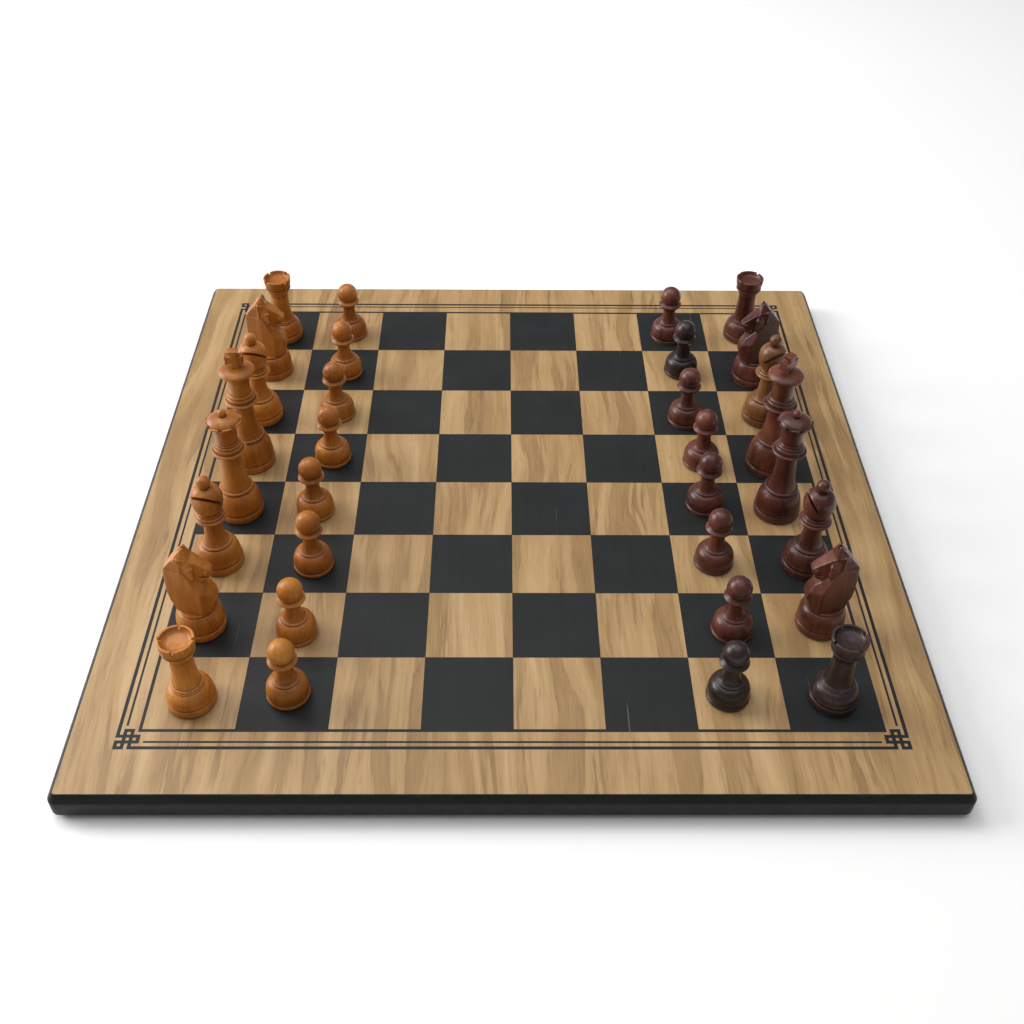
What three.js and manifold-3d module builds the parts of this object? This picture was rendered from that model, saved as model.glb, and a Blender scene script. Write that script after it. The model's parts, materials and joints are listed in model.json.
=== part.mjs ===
// A chess set laid out for a game: a one-piece board with a veneered, printed top and 32 turned wooden pieces.
// Millimetres, +Z up, the front edge of the board toward -Y. The origin is under the middle of the board.
import * as THREE from 'three';
import { mergeVertices } from 'three/addons/utils/BufferGeometryUtils.js';
import Module from 'manifold-3d';

const wasm = await Module();
wasm.setup();

// ---------------------------------------------------------------- board
const SQUARE = 50;
const SQUARES_A_SIDE = 8;
const FIELD_HALF = SQUARE * SQUARES_A_SIDE / 2;
// The squares, their lines and the pieces sit this far behind the middle of the board.
const FIELD_BEHIND = 3.25;
const BASE_FELT_WIDTH = 468;
const BASE_FELT_HEIGHT = 1.5;
const CORE_TOP_WIDTH = 475;
const CORE_HEIGHT = 15.5;
const CORE_CORNER = 5;
const TOP_BEVEL_OUT = 3.25;
const TOP_BEVEL_DROP = 3.25;
const BOTTOM_BEVEL_IN = 2.25;
const BOTTOM_BEVEL_RISE = 2.5;
const VENEER_WIDTH = 474.5;
const VENEER_HEIGHT = 1;
const VENEER_CORNER = 1.5;
const INLAY_DEPTH = 0.25;
const BOARD_TOP = BASE_FELT_HEIGHT + CORE_HEIGHT + VENEER_HEIGHT;

// Border lines, on a grid whose corner is where the outer lines would cross.
const SQUARE_LAP = 0.25;
const INNER_LINE_AT = 200.75;
const OUTER_LINE_AT = 212;
const LINE_WIDTH = 2;
const THIN_LINE_WIDTH = 1.25;
const FRET_STEPS = 3;
const FRET_PITCH = (OUTER_LINE_AT - INNER_LINE_AT) / FRET_STEPS;
const THIN_LINE_STEP = 1;
const THIN_LINE_STOP = 4;
// The corner ornament is one line that folds over itself, in steps of the grid from the outer corner inward.
const FRET_PATH = [[0, 2], [3, 2], [3, 1], [0, 1], [0, 0], [1, 0], [1, 3], [2, 3], [2, 0]];

// ---------------------------------------------------------------- pieces
const FELT_HEIGHT = 0.8;
const FELT_INSET = 0.7;
const PLINTH_TOP = 3;
const TALL_PLINTH_TOP = 4.5;
const PAWN_RADIUS = 12.2;
const ROOK_RADIUS = 13.6;
const KNIGHT_RADIUS = 14.1;
const BISHOP_RADIUS = 14.2;
const QUEEN_RADIUS = 14.7;
const KING_RADIUS = 15.2;
const PIECE_SEGMENTS = 14;
const PAWN_SEGMENTS = 12;
const WELL_RADIUS = 7.5;
const WELL_DEPTH = 3.5;
const ROOK_NOTCH_WIDTH = 2.2;
const ROOK_NOTCH_DEPTH = 2.6;
const MITRE_SLOT_WIDTH = 1.3;
const MITRE_SLOT_TILT = 50;
const MITRE_SLOT_START = 1.5;
const MITRE_SLOT_DROP = 18;
const CORONET_POINTS = 8;
const CORONET_NOTCH = 1.7;
const CORONET_RIM = 10.2;
const HEAD_FOOT = 19;
const EYE_RADIUS = 1.5;
const EYE_FORWARD = 2.8;
const EYE_OUT = 5.5;
const EYE_UP = 52.8;
const CROSS_THICKNESS = 5.4;

// Each row from the front of the board to the rear: the kind of piece, how far it stands to the right of and
// behind the middle of its square, and how far it is turned, in degrees.
const LIGHT_BACK_ROW = [
  ['rook', -1.6, -5.2, 0], ['knight', -6, -1.2, 0], ['bishop', -4.6, 1.5, 258], ['queen', 0.3, -2.2, 0],
  ['king', 0.3, -3.6, 4], ['bishop', 0, -5, 265], ['knight', 0, -1.8, 0], ['rook', 2, -6, 45],
];
const LIGHT_PAWN_ROW = [
  ['pawn', 0.8, -1.2], ['pawn', -0.3, -6.5], ['pawn', 3.1, -1.7], ['pawn', -1.4, -3],
  ['pawn', 4.3, -0.6], ['pawn', 2.5, -2.2], ['pawn', 3.5, -3.4], ['pawn', 2.6, -3.5],
];
const DARK_BACK_ROW = [
  ['rook', 1.8, -4, 20], ['knight', 5, 0.9, 180], ['bishop', 5.4, -0.9, 180], ['queen', -3.5, -1.5, 10],
  ['king', -1.4, -6.7, 40], ['bishop', 2.7, -4.5, 305], ['knight', 2.1, -8, 180], ['rook', 3, -4, 45],
];
const DARK_PAWN_ROW = [
  ['pawn', -6.2, -2], ['pawn', 2.7, -4.5], ['pawn', -0.5, 1], ['pawn', 0.3, 3.4],
  ['pawn', 3.3, -3.6], ['pawn', -2.3, -8], ['pawn', 1.1, -0.6], ['pawn', -4.7, -5.8],
];

// ---------------------------------------------------------------- materials
function finish(colour, roughness) {
  return new THREE.MeshStandardMaterial({ color: colour, roughness, metalness: 0 });
}

const MATERIALS = {
  edgePaint: finish('#26282a', 0.45),
  veneer: finish('#b29164', 0.4),
  print: finish('#313334', 0.4),
  baize: finish('#2b3230', 0.95),
  lightWood: finish('#b06a2c', 0.35),
  darkWood: finish('#4a2620', 0.35),
  goldenWood: finish('#8c5a2c', 0.35),
  pieceFelt: finish('#8b8f78', 0.95),
};

// ---------------------------------------------------------------- solids
function toSolid(geometry) {
  const bare = new THREE.BufferGeometry();
  bare.setAttribute('position', geometry.getAttribute('position'));
  bare.setIndex(geometry.getIndex());
  const welded = mergeVertices(bare, 1e-4);
  const corners = welded.getIndex().array;
  const kept = [];
  for (let i = 0; i < corners.length; i += 3) {
    const [a, b, c] = corners.subarray(i, i + 3);
    if (a !== b && b !== c && c !== a) kept.push(a, b, c);
  }
  return new wasm.Manifold(new wasm.Mesh({
    numProp: 3,
    vertProperties: Float32Array.from(welded.getAttribute('position').array),
    triVerts: Uint32Array.from(kept),
  }));
}

function toGeometry(solid) {
  const mesh = solid.getMesh();
  const geometry = new THREE.BufferGeometry();
  geometry.setAttribute('position', new THREE.BufferAttribute(Float32Array.from(mesh.vertProperties), 3));
  geometry.setIndex(new THREE.BufferAttribute(Uint32Array.from(mesh.triVerts), 1));
  return geometry;
}

function joined(solids) {
  return solids.reduce((whole, solid) => whole.add(solid));
}

function radians(degrees) {
  return THREE.MathUtils.degToRad(degrees);
}

function block(width, depth, height, x, y, z) {
  return new THREE.BoxGeometry(width, depth, height).translate(x, y, z);
}

// An outline to be turned, drawn from the foot upward one moulding at a time.
class Outline {
  constructor(radius, height = 0) {
    this.points = [new THREE.Vector2(0, height), new THREE.Vector2(radius, height)];
  }

  get last() {
    return this.points[this.points.length - 1];
  }

  to(radius, rise = 0) {
    this.points.push(new THREE.Vector2(radius, this.last.y + rise));
    return this;
  }

  // A bow above 0 leaves upright and arrives level, below 0 leaves level and arrives upright.
  curve(radius, rise, bow, steps) {
    const start = this.last.clone();
    const end = new THREE.Vector2(radius, start.y + rise);
    const corner = bow > 0 ? new THREE.Vector2(start.x, end.y) : new THREE.Vector2(end.x, start.y);
    const pull = start.clone().lerp(end, 0.5).lerp(corner, Math.abs(bow));
    this.points.push(...new THREE.QuadraticBezierCurve(start, pull, end).getPoints(steps).slice(1));
    return this;
  }

  // A ring standing out from the outline, which ends at a radius of its own.
  bead(out, rise, radius) {
    return this.to(this.last.x + out, rise / 2).to(radius, rise / 2);
  }

  ball(radius, steps) {
    const neck = this.last.clone();
    const centre = neck.y + Math.sqrt(radius ** 2 - neck.x ** 2);
    const from = -Math.acos(neck.x / radius);
    for (let i = 1; i <= steps; i += 1) {
      const angle = from + (Math.PI / 2 - from) * i / steps;
      const across = i === steps ? 0 : radius * Math.cos(angle);
      this.points.push(new THREE.Vector2(across, centre + radius * Math.sin(angle)));
    }
    return this;
  }

  turn(segments) {
    const points = this.last.x > 0 ? [...this.points, new THREE.Vector2(0, this.last.y)] : this.points;
    return new THREE.LatheGeometry(points, segments).rotateX(Math.PI / 2);
  }
}

// ---------------------------------------------------------------- board parts
function plate(width, corner, height, x, y, z) {
  const inner = width / 2 - corner;
  const shape = new THREE.Shape();
  [[1, 1], [-1, 1], [-1, -1], [1, -1]].forEach(([right, behind], quarter) => {
    const start = quarter * Math.PI / 2;
    shape.absarc(right * inner, behind * inner, corner, start, start + Math.PI / 2);
  });
  return new THREE.ExtrudeGeometry(shape, { depth: height, bevelEnabled: false, curveSegments: 3 })
    .translate(x, y, z);
}

// The moulded edge runs round a square, and its corners are rounded off in plan.
function boardCore() {
  const side = CORE_TOP_WIDTH / 2 + TOP_BEVEL_OUT;
  const moulded = new Outline(side - BOTTOM_BEVEL_IN, BASE_FELT_HEIGHT)
    .to(side, BOTTOM_BEVEL_RISE)
    .to(side, CORE_HEIGHT - BOTTOM_BEVEL_RISE - TOP_BEVEL_DROP)
    .curve(CORE_TOP_WIDTH / 2, TOP_BEVEL_DROP, 0.3, 3)
    .turn(4)
    .rotateZ(Math.PI / 4)
    .scale(Math.SQRT2, Math.SQRT2, 1);
  const rounding = plate(2 * side, CORE_CORNER, CORE_HEIGHT, 0, 0, BASE_FELT_HEIGHT);
  return toSolid(moulded).intersect(toSolid(rounding));
}

function isDark(column, row) {
  return (column + row) % 2 === 1;
}

function squareCentre(index) {
  return (index + 0.5) * SQUARE - FIELD_HALF;
}

// A straight strip of the print between two points of the face.
function strip(from, to, width, height, z) {
  const [x0, y0] = from;
  const [x1, y1] = to;
  const middle = [(x0 + x1) / 2, (y0 + y1) / 2];
  return toSolid(block(Math.abs(x1 - x0) + width, Math.abs(y1 - y0) + width, height, ...middle, z));
}

// The print fills grooves in the veneer from the inlay's depth upward, and its height is given so that the
// same shape, made taller, cuts the grooves.
// The light squares are openings in one printed sheet, whose rim is the inner line.
function squaresAndInnerLine(height) {
  const middle = height / 2 - INLAY_DEPTH;
  const width = 2 * INNER_LINE_AT + LINE_WIDTH;
  const opening = SQUARE - SQUARE_LAP;
  let print = toSolid(block(width, width, height, 0, 0, middle));
  for (let column = 0; column < SQUARES_A_SIDE; column += 1) {
    for (let row = 0; row < SQUARES_A_SIDE; row += 1) {
      if (!isDark(column, row)) {
        const place = [squareCentre(column), squareCentre(row), middle];
        print = print.subtract(toSolid(block(opening, opening, 2 * height, ...place)));
      }
    }
  }
  return print;
}

function outerLineAndFrets(height) {
  const middle = height / 2 - INLAY_DEPTH;
  const corner = (step) => OUTER_LINE_AT - step * FRET_PITCH;
  const parts = [];
  for (const side of [-1, 1]) {
    for (const end of [-1, 1]) {
      const at = ([x, y]) => [side * corner(x), end * corner(y)];
      for (let i = 1; i < FRET_PATH.length; i += 1) {
        parts.push(strip(at(FRET_PATH[i - 1]), at(FRET_PATH[i]), LINE_WIDTH, height, middle));
      }
    }
    const reach = corner(FRET_PATH[0][1]);
    const edge = side * OUTER_LINE_AT;
    parts.push(strip([edge, -reach], [edge, reach], LINE_WIDTH, height, middle));
    parts.push(strip([-reach, edge], [reach, edge], LINE_WIDTH, height, middle));
  }
  return joined(parts);
}

function thinLines(height) {
  const middle = height / 2 - INLAY_DEPTH;
  const at = OUTER_LINE_AT - THIN_LINE_STEP * FRET_PITCH;
  const reach = OUTER_LINE_AT - THIN_LINE_STOP * FRET_PITCH;
  const parts = [];
  for (const side of [-at, at]) {
    parts.push(strip([side, -reach], [side, reach], THIN_LINE_WIDTH, height, middle));
    parts.push(strip([-reach, side], [reach, side], THIN_LINE_WIDTH, height, middle));
  }
  return joined(parts);
}

function veneerSheet() {
  const cut = INLAY_DEPTH + VENEER_HEIGHT;
  return toSolid(plate(VENEER_WIDTH, VENEER_CORNER, VENEER_HEIGHT, 0, -FIELD_BEHIND, -VENEER_HEIGHT))
    .subtract(squaresAndInnerLine(cut))
    .subtract(outerLineAndFrets(cut))
    .subtract(thinLines(cut));
}

// ---------------------------------------------------------------- turned pieces
// The plinth, the groove above it, the lower bell and the shoulder that rounds in under the step ring.
// The waist and the ring are each a radius and a height above the playing face.
function foot(radius, [waist, waistHeight], [ring, ringHeight], plinthTop = PLINTH_TOP) {
  const bell = new Outline(radius, FELT_HEIGHT)
    .to(radius, plinthTop - FELT_HEIGHT)
    .to(radius - 0.7, 0.4)
    .to(radius - 0.1, 0.7);
  return bell
    .to(waist, waistHeight - bell.last.y)
    .curve(ring, ringHeight - waistHeight, 0.62, 2);
}

// A pawn's felt is part of its outline.
function pawnOutline() {
  return new Outline(PAWN_RADIUS - FELT_INSET)
    .to(PAWN_RADIUS - FELT_INSET, FELT_HEIGHT)
    .to(PAWN_RADIUS, 0.1)
    .to(11.7, 6.9)
    .curve(8, 5.6, 0.62, 2)
    .bead(-0.1, 1.5, 7.2)
    .curve(4.2, 10.4, -0.7, 2)
    .to(8.2, 4.2)
    .to(8.2, 0.8)
    .to(6, 1.6)
    .ball(7.35, 4);
}

function rookOutline() {
  return foot(ROOK_RADIUS, [13, 8], [9.3, 14.6])
    .bead(0, 1.3, 8.5)
    .bead(0.3, 1.1, 7.9)
    .curve(6.3, 20.8, -0.7, 3)
    .to(8.2, 4.4)
    .bead(0.8, 1.2, 8.8)
    .to(9.9, 7.9)
    .to(WELL_RADIUS + 0.4)
    .to(WELL_RADIUS, -WELL_DEPTH);
}

function bishopOutline() {
  return foot(BISHOP_RADIUS, [13.5, 8.4], [9.6, 17.4], TALL_PLINTH_TOP)
    .bead(0, 1.5, 8.2)
    .curve(5.2, 17.3, -0.7, 3)
    .to(8.6, 1.8)
    .bead(1.4, 1.9, 7.6)
    .bead(1.1, 1.7, 6.5)
    .bead(0.9, 1.6, 6.2)
    .curve(9.6, 10.4, -0.6, 2)
    .curve(2.6, 8.2, 0.75, 3)
    .ball(4.2, 3);
}

function queenOutline() {
  return foot(QUEEN_RADIUS, [14.2, 9], [10.2, 19.6], TALL_PLINTH_TOP)
    .to(9.6, 0.9)
    .bead(1, 1.8, 9.4)
    .curve(6, 26.5, -0.55, 3)
    .to(8.8, 1.6)
    .bead(2, 2.2, 8.8)
    .bead(0.5, 2.6, 7.8)
    .bead(0.5, 2, 6.4)
    .to(6.9, 10.9)
    .curve(11, 5, 0.55, 2)
    .to(CORONET_RIM, 1.1)
    .curve(2, 3.6, 0.6, 2)
    .ball(2.6, 3);
}

function kingOutline() {
  return foot(KING_RADIUS, [14.7, 9.4], [10.4, 22], TALL_PLINTH_TOP)
    .to(9.9, 0.9)
    .bead(1, 1.9, 9.7)
    .curve(6.3, 24.9, -0.55, 3)
    .to(8.9, 1.7)
    .bead(2.1, 2.3, 9)
    .bead(0.5, 3, 8)
    .bead(0.5, 2.3, 6.8)
    .to(7.1, 10.4)
    .curve(11.6, 5.4, 0.6, 2)
    .to(11.2, 1)
    .curve(3.4, 2.6, 0.6, 2);
}

function knightOutline() {
  const base = foot(KNIGHT_RADIUS, [13.7, 10], [10.9, 17.1], TALL_PLINTH_TOP);
  return base.bead(-0.2, HEAD_FOOT - base.last.y, 10);
}

function turnedBody(outline, segments = PIECE_SEGMENTS) {
  return toSolid(outline.turn(segments));
}

// Two crossing saw cuts leave four battlements.
function rookBody() {
  const outline = rookOutline();
  const rim = outline.last.y + WELL_DEPTH;
  const across = 2 * ROOK_RADIUS;
  const cut = () => block(across, ROOK_NOTCH_WIDTH, 2 * ROOK_NOTCH_DEPTH, 0, 0, rim);
  return turnedBody(outline)
    .subtract(toSolid(cut()))
    .subtract(toSolid(cut().rotateZ(Math.PI / 2)));
}

// The mitre's slot is a sloping saw cut from its front to just past its middle.
function bishopBody() {
  const outline = bishopOutline();
  const reach = 2 * BISHOP_RADIUS;
  const slot = block(reach, reach, MITRE_SLOT_WIDTH, reach / 2, 0, 0)
    .rotateY(radians(-MITRE_SLOT_TILT))
    .translate(MITRE_SLOT_START, 0, outline.last.y - MITRE_SLOT_DROP);
  return turnedBody(outline).subtract(toSolid(slot));
}

// Round notches drilled into the rim leave the coronet's points.
function queenBody() {
  const outline = queenOutline();
  const rim = outline.points.findLast((point) => point.x === CORONET_RIM).y;
  const notches = [];
  for (let i = 0; i < CORONET_POINTS; i += 1) {
    notches.push(new THREE.CylinderGeometry(CORONET_NOTCH, CORONET_NOTCH, CORONET_RIM / 2, 6)
      .rotateZ(Math.PI / 2)
      .translate(CORONET_RIM + CORONET_NOTCH, 0, rim)
      .rotateZ(2 * Math.PI * i / CORONET_POINTS));
  }
  return notches.reduce(
    (solid, notch) => solid.subtract(toSolid(notch)),
    turnedBody(outline, 2 * CORONET_POINTS),
  );
}

function feltDisc(radius) {
  return turnedBody(new Outline(radius - FELT_INSET).to(radius - FELT_INSET, FELT_HEIGHT));
}

// ---------------------------------------------------------------- carved pieces
// A flat outline given as [forward, up] pairs, made solid along Y and centred on it.
function slab(outline, thickness) {
  const shape = new THREE.Shape(outline.map(([x, y]) => new THREE.Vector2(x, y)));
  return toSolid(new THREE.ExtrudeGeometry(shape, { depth: thickness, bevelEnabled: false })
    .translate(0, 0, -thickness / 2)
    .rotateX(Math.PI / 2));
}

// Everything beyond a plane that faces outward from a point.
function beyond(point, outward) {
  const far = 4 * KING_RADIUS;
  const turn = new THREE.Quaternion().setFromUnitVectors(new THREE.Vector3(0, 0, 1), outward.normalize());
  return toSolid(block(2 * far, 2 * far, far, 0, 0, far / 2).applyQuaternion(turn).translate(...point));
}

// Cuts one flat on each side. The carving is left halfWidth wide at one point, forward of its middle and up,
// and widens from there by the two slopes.
function facet(solid, [forward, up], halfWidth, widenForward, widenUp) {
  return [-1, 1].reduce((left, side) => left.subtract(beyond(
    [forward, side * halfWidth, up],
    new THREE.Vector3(-widenForward, side, -widenUp),
  )), solid);
}

// The neck is turned and then sawn: the mane behind, the chest in front, and two flats on each side that meet
// in a ridge.
function knightNeck() {
  const turned = turnedBody(new Outline(10, HEAD_FOOT).to(11.6, 0.6).curve(13.6, 7, 0.5, 2).to(14.3, 6)
    .to(14.3, 25));
  const side = slab([
    [-14.6, HEAD_FOOT - 1], [-14.3, 33], [-13.3, 50], [-2, 49], [5.8, 40.8], [9.6, 36.4], [12, 31], [12.9, 26],
    [12.9, HEAD_FOOT - 1],
  ], 2 * KNIGHT_RADIUS);
  const mane = facet(turned.intersect(side), [-12.5, 20], 4.8, 0.27, -0.047);
  const chest = facet(mane, [5.5, 34.5], 9, -0.718, -0.04);
  return facet(chest, [5.5, 34.5], 9, -1.06, -0.682);
}

function knightCheeks() {
  const side = slab([
    [-13.4, 50], [-8, 57], [-0.7, 65.2], [0.4, 64.9], [1.8, 59.4], [3.4, 54], [4, 46], [2, 42.6], [-4, 42],
  ], KNIGHT_RADIUS);
  const sides = facet(side, [-1, 50], 5.4, 0.26, -0.02);
  return facet(sides, [0, 57], 4.9, 0, -0.3);
}

function knightMuzzle() {
  const side = slab([
    [-4, 44.4], [-4, 60], [1, 58.6], [5.2, 56.4], [12.6, 49.8], [13.3, 48.6], [12.2, 44.4],
  ], KNIGHT_RADIUS);
  return facet(side, [2, 52], 4.8, -0.14, 0.02);
}

function knightJaw() {
  const side = slab([[-4, 52], [6, 52], [7, 43.7], [11.6, 43.7], [10.3, 41.8], [7, 40.6], [-4, 41]],
    KNIGHT_RADIUS);
  return facet(side, [2, 43], 4.5, -0.17, 0.02);
}

function knightHead() {
  const eyes = [-1, 1].map((side) => (
    toSolid(new THREE.SphereGeometry(EYE_RADIUS, 6, 4).translate(EYE_FORWARD, side * EYE_OUT, EYE_UP))));
  return joined([knightNeck(), knightCheeks(), knightMuzzle(), knightJaw(), ...eyes]);
}

// Four arms that widen outward, standing on the lowest one.
function kingCross() {
  const collar = kingOutline().last.y;
  const half = [[2.6, 0], [1.9, 2.4], [2.1, 3.6], [5.7, 2.8], [5.7, 9], [2.1, 8.2], [2, 9.2], [3.3, 12.4]]
    .map(([x, y]) => [x, y + collar]);
  const mirrored = half.map(([x, y]) => [-x, y]).reverse();
  return slab([...half, ...mirrored], CROSS_THICKNESS);
}

// ---------------------------------------------------------------- assembly
// What each kind of piece is made of. The body carries the piece's own name.
const KINDS = {
  pawn: { body: turnedBody(pawnOutline(), PAWN_SEGMENTS) },
  rook: { body: rookBody(), felt: feltDisc(ROOK_RADIUS) },
  knight: { body: turnedBody(knightOutline()), felt: feltDisc(KNIGHT_RADIUS), head: knightHead() },
  bishop: { body: bishopBody(), felt: feltDisc(BISHOP_RADIUS) },
  queen: { body: queenBody(), felt: feltDisc(QUEEN_RADIUS) },
  king: { body: turnedBody(kingOutline()), felt: feltDisc(KING_RADIUS), cross: kingCross() },
};

const group = new THREE.Group();
group.name = 'chess_set_with_board';

// The playing face, with its origin in the middle of the squares.
const face = new THREE.Group();
face.position.set(0, FIELD_BEHIND, BOARD_TOP);
group.add(face);

function addNode(parent, name, solid, material) {
  const mesh = new THREE.Mesh(toGeometry(solid), material);
  mesh.name = name;
  parent.add(mesh);
  return mesh;
}

function addBoard() {
  const baseFelt = toSolid(plate(BASE_FELT_WIDTH, CORE_CORNER, BASE_FELT_HEIGHT, 0, 0, 0));
  addNode(group, 'board_base_felt', baseFelt, MATERIALS.baize);
  addNode(group, 'board_core', boardCore(), MATERIALS.edgePaint);
  addNode(face, 'board_veneer', veneerSheet(), MATERIALS.veneer);
  addNode(face, 'board_dark_squares', squaresAndInnerLine(INLAY_DEPTH), MATERIALS.print);
  addNode(face, 'board_outer_line', outerLineAndFrets(INLAY_DEPTH), MATERIALS.print);
}

function addPiece(name, kind, x, y, turn, wood) {
  for (const [part, solid] of Object.entries(KINDS[kind])) {
    const label = part === 'body' ? name : `${name}_${part}`;
    const mesh = addNode(face, label, solid, part === 'felt' ? MATERIALS.pieceFelt : wood);
    mesh.position.set(x, y, 0);
    mesh.rotation.z = radians(turn);
  }
}

function pieceLabel(kind, row, end) {
  if (kind === 'pawn') return `pawn_${row + 1}`;
  return kind === 'king' || kind === 'queen' ? kind : `${kind}_${end}`;
}

function addColumn(side, column, pieces, woodFor) {
  pieces.forEach(([kind, right, behind, turn = 0], row) => {
    const end = row < SQUARES_A_SIDE / 2 ? 'front' : 'rear';
    const name = `${side}_${pieceLabel(kind, row, end)}`;
    const x = squareCentre(column) + right;
    const y = squareCentre(row) + behind;
    addPiece(name, kind, x, y, turn, woodFor(kind, end));
  });
}

const lightWood = () => MATERIALS.lightWood;
// One of the dark bishops is a replacement in a golden wood.
const darkWood = (kind, end) => (
  kind === 'bishop' && end === 'rear' ? MATERIALS.goldenWood : MATERIALS.darkWood);

addBoard();
addColumn('light', 0, LIGHT_BACK_ROW, lightWood);
addColumn('light', 1, LIGHT_PAWN_ROW, lightWood);
addColumn('dark', 6, DARK_PAWN_ROW, darkWood);
addColumn('dark', 7, DARK_BACK_ROW, darkWood);

export default group;
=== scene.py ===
"""The looks of a chess set laid out on its board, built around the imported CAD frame.

Sizes in the outlines are millimetres, and everything placed in Blender is metres. Each turned piece is drawn
once as an outline, from the playing face upward, and stands where the CAD says its node is.
"""
import json
import math

import bmesh
import bpy
from mathutils import Matrix, Vector

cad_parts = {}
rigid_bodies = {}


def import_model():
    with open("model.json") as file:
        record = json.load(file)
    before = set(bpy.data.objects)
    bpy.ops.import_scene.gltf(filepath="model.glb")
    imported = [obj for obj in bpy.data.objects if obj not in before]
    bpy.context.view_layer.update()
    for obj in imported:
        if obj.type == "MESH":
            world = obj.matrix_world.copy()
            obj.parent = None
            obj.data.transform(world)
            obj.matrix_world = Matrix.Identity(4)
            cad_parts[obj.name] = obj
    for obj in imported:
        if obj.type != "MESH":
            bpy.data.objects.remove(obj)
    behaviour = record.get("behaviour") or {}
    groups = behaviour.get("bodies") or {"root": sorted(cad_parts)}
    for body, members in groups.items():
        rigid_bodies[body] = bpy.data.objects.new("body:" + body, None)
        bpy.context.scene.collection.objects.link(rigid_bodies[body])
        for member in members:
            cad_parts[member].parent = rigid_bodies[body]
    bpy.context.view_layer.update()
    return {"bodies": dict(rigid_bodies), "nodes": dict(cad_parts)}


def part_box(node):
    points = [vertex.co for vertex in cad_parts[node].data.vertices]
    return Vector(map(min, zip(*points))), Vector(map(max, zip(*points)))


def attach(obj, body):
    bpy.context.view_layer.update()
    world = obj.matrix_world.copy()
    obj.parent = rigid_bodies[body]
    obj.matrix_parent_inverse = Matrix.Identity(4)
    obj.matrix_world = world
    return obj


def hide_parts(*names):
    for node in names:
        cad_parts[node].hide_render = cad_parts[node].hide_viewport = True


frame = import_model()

MM = 0.001
RELIEF = "relief"

# ---------------------------------------------------------------- sizes
BOARD_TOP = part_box("board_veneer")[1].z
FIELD_LOW, FIELD_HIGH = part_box("board_dark_squares")
FIELD_MIDDLE = (FIELD_LOW + FIELD_HIGH) / 2
FELT_HEIGHT = 0.8
FELT_INSET = 0.7
BACK_ROW_SEGMENTS = 96
PAWN_SEGMENTS = 72
SHARP_ANGLE = math.radians(38)
LINE_WIDTH = 2

PAWN_RADIUS = 12.2
ROOK_RADIUS = 13.6
BISHOP_RADIUS = 14.2
QUEEN_RADIUS = 14.7
KING_RADIUS = 15.2
KNIGHT_RADIUS = 14.1
PLINTH_TOP = 3.0
TALL_PLINTH_TOP = 5.6

ROOK_NOTCH_WIDTH = 1.8
ROOK_NOTCH_DEPTH = 1.8
MITRE_SLOT_WIDTH = 1.6
MITRE_SLOT_TILT = 50
MITRE_SLOT_START = 1.5
MITRE_SLOT_DROP = 18
CORONET_POINTS = 8
CORONET_NOTCH = 1.6
CROSS_THICKNESS = 5.4
CROSS_ROUNDING = 0.45
HEAD_FOOT = 18.9
HEAD_VOXEL = 0.35
EYE_RADIUS = 1.5
NOSTRIL_RADIUS = 1.3
EDGE_CORNER = 5
EDGE_RIDGE_DROP = 4.2
THIN_LINE_WIDTH = 1.2
PRINT_DEPTH = 0.24
# Steps of the corner ornament's grid between the inner and outer lines, and at the thin line and its ends.
FRET_STEPS = 3
THIN_LINE_STEP = 1
THIN_LINE_STOP = 4

# How far each piece is turned, in degrees. Pawns are round, and knights face the middle of the board.
TURNS = {
    "light_rook_rear": 45, "dark_rook_front": 20, "dark_rook_rear": 45,
    "dark_knight_front": 180, "dark_knight_rear": 180,
    "light_bishop_front": 258, "light_bishop_rear": 265,
    "dark_bishop_front": 180, "dark_bishop_rear": 305,
    "light_king": 4, "dark_king": 40, "dark_queen": 10,
}


# ---------------------------------------------------------------- camera, light and floor
CAMERA_FROM_FIELD = Vector((-0.0075, -0.5771, 0.5162))
CAMERA_AZIMUTH = math.radians(0.80)
CAMERA_ELEVATION = math.radians(43.27)
CAMERA_ROLL = math.radians(0.68)
SENSOR_WIDTH = 36
LENS = 40.93


def make_camera():
    """Looks down at the board from the front, a little left of its middle."""
    position = Vector((FIELD_MIDDLE.x, FIELD_MIDDLE.y, BOARD_TOP)) + CAMERA_FROM_FIELD
    data = bpy.data.cameras.new("camera")
    data.sensor_width = SENSOR_WIDTH
    data.lens = LENS
    data.clip_start = 0.05
    camera = bpy.data.objects.new("camera", data)
    ahead = Vector((
        math.sin(CAMERA_AZIMUTH) * math.cos(CAMERA_ELEVATION),
        math.cos(CAMERA_AZIMUTH) * math.cos(CAMERA_ELEVATION),
        -math.sin(CAMERA_ELEVATION),
    ))
    turn = ahead.to_track_quat("-Z", "Y").to_matrix() @ Matrix.Rotation(CAMERA_ROLL, 3, "Z")
    camera.matrix_world = Matrix.Translation(position) @ turn.to_4x4()
    bpy.context.scene.collection.objects.link(camera)
    bpy.context.scene.camera = camera


def make_light(name, position, size, power, colour=(1, 1, 1)):
    """A round soft light, turned toward the middle of the board."""
    data = bpy.data.lights.new(name, "AREA")
    data.shape = "DISK"
    data.size = size
    data.energy = power
    data.color = colour
    light = bpy.data.objects.new(name, data)
    light.location = position
    light.rotation_euler = (-Vector(position)).to_track_quat("-Z", "Y").to_euler()
    bpy.context.scene.collection.objects.link(light)


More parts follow.
